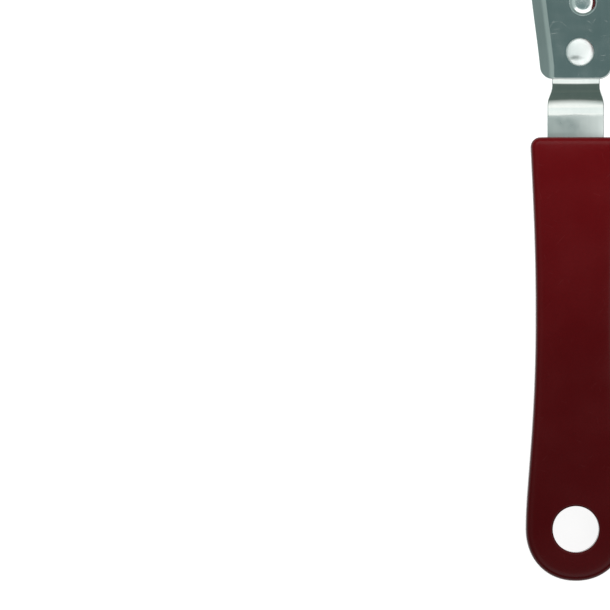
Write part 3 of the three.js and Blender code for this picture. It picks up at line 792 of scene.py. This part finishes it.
def drive_plate_outline():
    c = PLATE_CORNER
    left = HANDLE_X["drive"] - PLATE_HALF
    right = HANDLE_X["drive"] + PLATE_HALF
    mid = PIVOT[0]
    wide = CAP["half"]
    tip = box("drive_arm_plate")[1].y
    o = Outline(right - c, PLATE_FOOT)
    o.curve(right - c * 0.45, PLATE_FOOT, right, PLATE_FOOT + c * 0.45, right + 0.1, PLATE_FOOT + c, 10)
    o.curve(25.8, 35, 26.4, 40, 25.5, 47, 36)
    o.curve(24.3, 56, 13, 60, 10.5, 69)
    o.curve(9, 74, mid + wide, 78, mid + wide, 85)
    o.curve(mid + wide, 95, mid + 8, tip, mid, tip)
    o.curve(mid - 8, tip, mid - wide, 95, mid - wide, 85)
    o.curve(mid - wide, 80, mid - 10.3, 79, mid - 10, 73)
    o.curve(mid - 9.6, 66, -6.6, 63.5, -6.3, 58.5)
    o.curve(-6, 52, 4.5, 42, left, PLATE_FOOT + c, 40)
    o.curve(left, PLATE_FOOT + c * 0.45, left + c * 0.55, PLATE_FOOT, left + c, PLATE_FOOT, 10)
    o.line(right - c, PLATE_FOOT, 30)
    return o.loop()


def cap_window():
    mid = PIVOT[0]
    c = CAP
    half, low, high, tab = c["hole"], c["low"], c["high"], c["tab"]
    o = Outline(mid - tab - 1.5, low)
    o.curve(mid - half * 0.8, low, mid - half, low + 1.6, mid - half, low + 4, 12)
    o.curve(mid - half, high - 2, mid - 6, high, mid, high)
    o.curve(mid + 6, high, mid + half, high - 2, mid + half, low + 4)
    o.curve(mid + half, low + 1.6, mid + half * 0.8, low, mid + tab + 1.5, low, 12)
    o.line(mid + tab, low + c["rise"], 4)
    o.line(mid - tab, low + c["rise"], 8)
    return o.loop()


def make_plate(arm, outer, holes):
    """The sheet turns down along its outer edge, fading out towards the pivot."""
    upper_edge, lower_edge = 0.2, 0.15
    node = f"{arm}_arm_plate"
    side = SIDE[arm]
    high = level(node)[1]
    edge_points = outer[(side * outer[:, 0] > side * HANDLE_X[arm]) & (outer[:, 1] < FLANGE["top"] + 6)]
    edge_points = edge_points[np.argsort(edge_points[:, 1])]

    def edge_x(y):
        above_corner = np.maximum(y, PLATE_FOOT + PLATE_CORNER)
        return np.interp(above_corner, edge_points[:, 1], edge_points[:, 0])

    def fold(flat):
        bend = FLANGE["bend"]
        past = FLANGE["width"] - side * (edge_x(flat[:, 1]) - flat[:, 0])
        curved = np.clip(past + bend, 0, 2 * bend) ** 2 / (4 * bend)
        soft = np.where(past > bend, past, curved)
        fade = np.clip((FLANGE["top"] - flat[:, 1]) / FLANGE["fade"], 0, 1)
        return soft * FLANGE["drop"] / FLANGE["width"] * fade * fade * (3 - 2 * fade)

    def top(flat, to_edge, to_hole):
        return high - fold(flat) - rounded(np.minimum(to_edge, to_hole), upper_edge)

    def bottom(flat, to_edge, to_hole):
        return high - SHEET - fold(flat) + rounded(np.minimum(to_edge, to_hole), lower_edge)

    rows = [FLANGE["width"] + FLANGE["bend"] * share / 4 for share in range(-4, 5)]
    levels = np.arange(PLATE_FOOT + 0.4, FLANGE["top"], 0.8)
    along_bend = np.array([(edge_x(y) - side * row, y) for row in rows for y in levels])
    insets = [*quarter(upper_edge, 3), 0.5, 1]
    shape = relief(outer, holes, top, bottom, 0.9, insets, along_bend)
    piece(f"{node}_pressed", *shape, PLATE, BODY[arm], "plate_steel", [node])


def make_plates():
    rivets = {}
    for arm in SIDE:
        rivets[arm] = [circle(rivet_place(arm, *place), RIVET_HOLE, 32) for place in ARM_RIVETS.values()]
    loose, close, bush = 3.1, 3.05, 4.35
    cutter_holes = [circle(PIVOT, loose), circle(CUTTER, close), *rivets["cutter"]]
    make_plate("cutter", cutter_plate_outline(), cutter_holes)
    drive_holes = [circle(PIVOT, close), circle(DRIVE, bush), cap_window(), *rivets["drive"]]
    make_plate("drive", drive_plate_outline(), drive_holes)


# ---- rivets, bush and washers ----

STUD = 3                                 # radius of the pivot rivet and the cutter's stud
BORE = 3.1                               # radius inside every part that sits on a stud or the shaft


def make_headed(node, centre, shank, front, back, body, material=BRIGHT, head=dome):
    """A rivet as high as its solid, with heads (radius, height)."""
    low, high = level(node)
    shape = rivet(centre, shank, low + back[1], high - front[1], front, back, head)
    piece(f"{node}_headed", *shape, material, body, "rivet_steel", [node])


def make_arm_rivets(arm):
    for where, place in ARM_RIVETS.items():
        centre = rivet_place(arm, *place)
        looks = {"lower": (SATIN, dome), "upper": (BRIGHT, button)}[where]
        node = f"{arm}_arm_rivet_{where}"
        make_headed(node, centre, RIVET_SHANK, (3.5, 0.75), (2.9, 0.4), BODY[arm], *looks)


def ring(inner, outer, low, high):
    """The section of a washer."""
    return [(inner, low), (outer, low), (outer, high), (inner, high)]


def make_round(node, centre, profile, material, body, slot, corner=0.15, steps=72):
    shape = lathe(centre, soften(profile, corner), steps)
    piece(f"{node}_turned", *shape, material, body, slot, [node])


def make_pivot():
    make_headed("pivot_rivet", PIVOT, STUD, (5.2, 1.5), (4.6, 1), "drive_arm")
    washer = ring(BORE, 6.5, *level("pivot_washer"))
    make_round("pivot_washer", PIVOT, washer, BRIGHT, "drive_arm", "rivet_steel", 0.08)


def make_stud():
    make_headed("cutter_stud", CUTTER, STUD, (4.5, 1.1), (4.8, 1.3), "cutter_arm")
    spacer = ring(BORE, 4.5, *level("cutter_spacer"))
    make_round("cutter_spacer", CUTTER, spacer, SINTERED, "cutter_arm", "gear_steel")


def make_bush():
    low, high = level("shaft_bush")
    collar = level("drive_arm_plate")[1] + 0.05
    sleeve, flange = 4.3, 5
    profile = [(BORE, low), (sleeve, low), (sleeve, collar), (flange, collar), (flange, high), (BORE, high)]
    make_round("shaft_bush", DRIVE, profile, SINTERED, "drive_arm", "gear_steel")
    washer = ring(BORE, 4.9, *level("key_washer"))
    make_round("key_washer", DRIVE, washer, BRIGHT, "key", "rivet_steel", 0.1)


# ---- gears and wheels ----

GEAR_TEETH = {"cutter": 20, "drive": 12}
SHAFT = 3                                # radius of the drive shaft
FLAT = 2.4                               # from its axis to each of its two flats
FEED = {"radius": 6.5, "teeth": 22, "depth": 0.8}
PRESSURE = math.radians(25)


def gear_outline(teeth, phase, centre):
    """Module 1 spur gear with involute flanks and rounded roots."""
    addendum, dedendum, play = 0.92, 1.25, 0.32
    pitch = teeth / 2
    base = pitch * math.cos(PRESSURE)
    tip = pitch + addendum
    root = pitch - dedendum

    def involute(a):
        return math.tan(a) - a

    half = (math.pi - play) / (4 * pitch) + involute(PRESSURE)
    start = max(base, root)
    flank = []
    for i in range(8):
        r = start + (tip - start) * i / 7
        flank.append((r, half - involute(math.acos(min(1, base / r)))))
    foot = flank[0][1] + 0.01
    rise = [(root, foot + 0.02), (root + 0.08, foot + 0.004), *flank]
    points = []
    for k in range(teeth):
        middle = phase + 2 * math.pi * k / teeth
        points += [(r, middle - a) for r, a in rise]
        points += [(r, middle + a) for r, a in reversed(rise)]
    return np.array([(centre[0] + r * math.cos(a), centre[1] + r * math.sin(a)) for r, a in points])


def double_d(centre, radius, flat):
    """A round shaft's outline with two flats across Y, `flat` from the middle."""
    a = math.asin(flat / radius)
    o = Outline(centre[0] + radius * math.cos(a), centre[1] - flat)
    o.arc(centre, radius, -a, a, 16)
    o.arc(centre, radius, math.pi - a, math.pi + a, 16)
    return o.loop()


def serrated(centre, radius, count, depth):
    """A wheel's outline with `count` small flat-topped teeth."""
    points = []
    for k in range(count):
        for share, cut in ((-0.08, 0), (0.08, 0), (0.42, depth), (0.58, depth)):
            a = 2 * math.pi * (k + share) / count
            reach = radius - cut
            points.append((centre[0] + reach * math.cos(a), centre[1] + reach * math.sin(a)))
    return np.array(points)


def make_wheels():
    clear = 0.06
    keyed_bore = double_d(DRIVE, SHAFT + clear, FLAT + clear)
    half_tooth_on = math.pi + math.pi / GEAR_TEETH["drive"]
    teeth = gear_outline(GEAR_TEETH["drive"], half_tooth_on, DRIVE)
    shape = slab(teeth, [keyed_bore], *level("drive_gear"), 0.1)
    piece("drive_gear_cut", *shape, SINTERED, "key", "gear_steel", ["drive_gear"])
    teeth = serrated(DRIVE, FEED["radius"], FEED["teeth"], FEED["depth"])
    shape = slab(teeth, [keyed_bore], *level("feed_wheel"), 0.12)
    piece("feed_wheel_cut", *shape, SINTERED, "key", "gear_steel", ["feed_wheel"])
    low, high = level("cutter_gear")
    face = level("drive_gear")[0]
    shape = slab(gear_outline(GEAR_TEETH["cutter"], 0, CUTTER), [circle(CUTTER, BORE)], face, high, 0.1)
    hub = lathe(CUTTER, soften(ring(BORE, 6.5, low, face + 0.2), 0.3))
    piece("cutter_gear_cut", *joined(shape, hub), SINTERED, "cutter", "gear_steel", ["cutter_gear"])
    low, high = level("cutting_wheel")
    bevel = [(7.4, low), (7.8, low + 0.05), (10.9, high - 0.28), (11, high - 0.15), (10.85, high - 0.06)]
    profile = [(BORE, low), *bevel, (10.5, high), (BORE, high)]
    make_round("cutting_wheel", CUTTER, profile, BLADE, "cutter", "blade_steel", 0.1, 128)


# ---- key and shaft ----

KEY = {"half": 3.5, "pin": 27, "spade": 1.2, "spade_half": 8, "spade_foot": 20, "spade_top": 33}
# The key's round neck: (radius, height) from its foot up.
NECK = ((4.8, 11.6), (5, 12), (5, 12.8), (5.8, 13.6), (5.8, 18.5), (5.2, 21), (3.9, 24), (3, 27), (2.6, 34))


def key_outline():
    """The butterfly from the side: across is along the opener, up is height."""
    o = Outline(0, NECK[0][1])
    o.line(*NECK[0], 12)
    for radius, up in NECK[1:4]:
        o.line(radius, up, 3)
    o.line(radius, 16.6, 5)
    o.curve(radius, 18.5, 9.5, 18.3, 13.5, 17.4, 16)
    o.curve(22, 15.6, 28.5, 20, 28.5, 28.5, 32)
    o.curve(28.5, 36.5, 22, 41.4, 15, 39.8, 32)
    o.curve(9, 38.4, 5.5, 36, 0, 36, 20)
    right = o.points[:]
    o.points += [(-x, y) for x, y in reversed(right)]
    return o.loop()


def key_half(side):
    """Wings with a finger dish in each, swelling smoothly into the round neck."""
    half, edge = KEY["half"], 1.5
    depth, dish_at, dish_reach = 0.9, (16.5, 28.5), (7.5, 6.5)
    root_at, root_fade = 14.6, 2.6
    blend, thinnest = 1.1, 0.4
    joint, seam = 0.05, 0.12

    def top(flat, to_edge, to_hole):
        across, up = flat[:, 0], flat[:, 1]
        sideways = (np.abs(across) - dish_at[0]) / dish_reach[0]
        upwards = (up - dish_at[1]) / dish_reach[1]
        dish = depth * np.exp(-(sideways ** 2 + upwards ** 2) ** 1.3)
        root = np.clip((up - root_at) / root_fade, 0, 1)
        wing = (half - dish - rounded(to_edge, edge)) * root * root * (3 - 2 * root)
        neck_radius = np.interp(up, [u for _, u in NECK], [r for r, _ in NECK])
        neck = np.sqrt(np.clip(neck_radius ** 2 - across ** 2, 0.01, None))
        gap = np.clip(0.5 + (neck - wing) / (2 * blend), 0, 1)
        return np.maximum(neck * gap + wing * (1 - gap) + blend * gap * (1 - gap), thinnest)

    def bottom(flat, to_edge, to_hole):
        return joint + np.clip(seam - to_edge, 0, seam)

    vertices, faces = relief(key_outline(), [], top, bottom, 0.75, [*quarter(edge, 6), 2.0, 2.7])
    placed = [(DRIVE[0] + side * z, DRIVE[1] + x, y) for x, y, z in vertices]
    return placed, faces if side > 0 else [tuple(reversed(f)) for f in faces]


def make_key():
    """Two moulded halves with a pocket for the spade and a bore for the shaft, and the pin across them."""
    k = KEY
    x, y = DRIVE
    clear = 0.06
    thick, wide = k["spade"] + clear, k["spade_half"] + clear
    pocket = brick((x - thick, x + thick), (y - wide, y + wide), (k["spade_foot"], k["spade_top"] + clear))
    top = k["spade_foot"] + 0.1
    bore = lathe(DRIVE, [(0, 5), (SHAFT + clear, 5), (SHAFT + clear, top), (0, top)], 48)
    seat, shank, far, step = 2.2, 1.3, 9, 2.1
    stepped = [(0, -far), (seat, -far), (seat, -step), (shank, -step)]
    pin_bore = cross_pin(stepped + [(r, -z) for r, z in reversed(stepped)])
    for name, side in (("left", -1), ("right", 1)):
        node = f"key_shell_{name}"
        shell = piece(f"{node}_moulded", *key_half(side), PLASTIC, "key", "key_plastic", [node])
        carve(shell, pocket, bore, pin_bore)
    head = [(0, -3.5), (0.9, -3.46), (1.6, -3.3), (2.1, -2.95), (2.1, -2.2), (1.2, -2.2)]
    pin = cross_pin(head + [(r, -z) for r, z in reversed(head)])
    piece("key_pin_headed", *pin, BRIGHT, "key", "rivet_steel", ["key_pin"])


def cross_pin(profile):
    """A turned shape about the line that crosses the key's shaft, along X."""
    vertices, faces = lathe((0, 0), profile, 40)
    return [(DRIVE[0] + c, DRIVE[1] + a, KEY["pin"] + b) for a, b, c in vertices], faces


def make_shaft():
    """A headed round shaft with two flats where the gear and the feed wheel sit, and a flat spade on top."""
    k = KEY
    low = level("drive_shaft")[0]
    feed_low = level("feed_wheel")[0]
    gear_high = level("drive_gear")[1]
    under, above = feed_low - 0.05, gear_high + 0.05
    head = [(0, low), (3.6, low), (4.2, low + 0.25), (4.4, low + 0.6), (4.4, under), (FLAT, under)]
    top = k["spade_foot"]
    body = [(FLAT, above), (SHAFT, above), (SHAFT, top - 0.4), (SHAFT - 0.4, top), (0, top)]
    turned = lathe(DRIVE, head + body)
    keyed = slab(double_d(DRIVE, SHAFT, FLAT), [], feed_low - 0.1, gear_high + 0.1, 0.02)
    x, y = DRIVE
    chamfer, half, foot, end = 1.5, k["spade_half"], k["spade_foot"], k["spade_top"]
    o = Outline(y - FLAT, foot - 0.3)
    left = [(y - half, foot + chamfer, 3), (y - half, end - chamfer, 6), (y - half + chamfer, end, 3)]
    right = [(y + half - chamfer, end, 8), (y + half, end - chamfer, 3), (y + half, foot + chamfer, 6)]
    for corner in (*left, *right, (y + FLAT, foot - 0.3, 3)):
        o.line(*corner)
    vertices, faces = slab(o.loop(), [circle((y, k["pin"]), 1.25, 32)], -k["spade"], k["spade"], 0.15)
    upright = [(x + c, a, b) for a, b, c in vertices], faces
    shape = joined(turned, keyed, upright)
    piece("drive_shaft_turned", *shape, BRIGHT, "key", "rivet_steel", ["drive_shaft"])


# ---- studio ----

def make_floor():
    """A pale table that gives off light of its own, just below what lies on it."""
    s = Surface("pale lit table", (0.34, 0.34, 0.34), 0.0, 0.9)
    s.shader.inputs["Specular IOR Level"].default_value = 0.1
    s.color(s.mix(s.remap(s.noise(3, 2.0), 0.3, 0.7, 0, 1), (0.33, 0.33, 0.33), (0.35, 0.35, 0.35)))
    s.bump(s.noise(900, 3.0), 0.01)
    s.shader.inputs["Emission Color"].default_value = (1, 1, 1, 1)
    s.shader.inputs["Emission Strength"].default_value = 0.88
    reach, gap = 30000, 0.03
    corners = [(x * reach, y * reach, -gap) for x, y in ((-1, -1), (1, -1), (1, 1), (-1, 1))]
    floor = piece("floor", corners, [(0, 1, 2, 3)], s.material)


def sky_ramp(nodes, height, stops):
    """Colours by the height of a direction: 0 at the horizon, 1 overhead."""
    ramp = nodes.node("ShaderNodeValToRGB", Fac=height)
    elements = ramp.color_ramp.elements
    while len(elements) < len(stops):
        elements.new(0.5)
    for element, (where, color) in zip(elements, stops):
        element.position = where
        element.color = (*color, 1)
    return ramp.outputs["Color"]


def make_world():
    """A dim patch overhead, a bright band round it that is weak on the left, and a dim horizon. The camera
    sees a pale backdrop in their place."""
    world = bpy.data.worlds.new("studio")
    world.use_nodes = True
    nodes = Nodes(world.node_tree, "Generated")
    height = nodes.node("ShaderNodeSeparateXYZ", Vector=nodes.place).outputs["Z"]
    horizon, dusk, overhead = (0.17, 0.226, 0.22), (0.095, 0.13, 0.118), (0.104, 0.156, 0.155)
    bright, weak, side = (0.97, 1.0, 0.985), (0.29, 0.36, 0.345), (0.18, 0.235, 0.227)
    high = [(0.985, overhead), (1.0, overhead)]
    band = [(0.76, bright), (0.972, bright)]
    low = [(0.0, horizon), (0.3, horizon), (0.42, dusk), (0.63, dusk)]
    all_round = sky_ramp(nodes, height, [*low, *band, *high])
    left = sky_ramp(nodes, height, [(0.0, side), (0.6, side), (0.8, weak), (0.972, weak), *high])
    heading = nodes.vector("NORMALIZE", nodes.vector("MULTIPLY", nodes.place, (1, 1, 0)))
    east = nodes.node("ShaderNodeSeparateXYZ", Vector=heading).outputs["X"]
    leftness = nodes.remap(east, -0.7, -0.88, 0.0, 1.0)
    sky = nodes.tree.nodes["Background"]
    nodes.set(sky.inputs["Strength"], 1.5)
    nodes.set(sky.inputs["Color"], nodes.mix(leftness, all_round, left))
    backdrop = nodes.node("ShaderNodeBackground", Color=(0.93, 0.94, 0.94, 1))
    seen = nodes.node("ShaderNodeLightPath").outputs["Is Camera Ray"]
    choose = nodes.node("ShaderNodeMixShader")
    for i, value in enumerate((seen, sky.outputs[0], backdrop.outputs[0])):
        nodes.set(choose.inputs[i], value)
    nodes.set(nodes.tree.nodes["World Output"].inputs["Surface"], choose.outputs[0])
    bpy.context.scene.world = world


def make_light(name, place, target, size, power):
    """A lamp, in metres and watts, hidden from the camera and from reflections."""
    lamp = bpy.data.lights.new(name, "AREA")
    lamp.shape = "RECTANGLE"
    lamp.size, lamp.size_y = size
    lamp.energy = power
    obj = bpy.data.objects.new(name, lamp)
    obj.location = place
    obj.rotation_euler = (Vector(target) - Vector(place)).to_track_quat("-Z", "Y").to_euler()
    obj.visible_camera = False
    obj.visible_glossy = False
    bpy.context.scene.collection.objects.link(obj)


def make_camera():
    """Straight above, from far away. The cutter arm's handle stands at the right edge of the view."""
    view_width = 152.5
    lens, sensor = 1000, 36
    aim_x = HANDLE_X["cutter"] - 67.75
    aim_y = GRIP_END + 69
    top = level("cutter_grip_front")[1]
    camera = bpy.data.cameras.new("camera")
    camera.lens = lens
    camera.sensor_width = sensor
    camera.clip_start = 0.01
    camera.clip_end = 100
    obj = bpy.data.objects.new("camera", camera)
    obj.location = (aim_x * MM, aim_y * MM, (top + view_width * lens / sensor) * MM)
    bpy.context.scene.collection.objects.link(obj)
    bpy.context.scene.camera = obj
    bpy.context.scene.view_settings.view_transform = "Standard"


# ---- all of it ----

for arm in SIDE:
    make_grip(arm)
    make_grip_screws(arm)
    make_tang(arm)
    make_arm_rivets(arm)
make_plates()
make_pivot()
make_stud()
make_bush()
make_wheels()
make_key()
make_shaft()
make_floor()
make_world()
make_light("head softbox", (-0.016, 0.045, 0.075), (-0.016, 0.0, 0.01), (0.1, 0.06), 0.14)
make_camera()
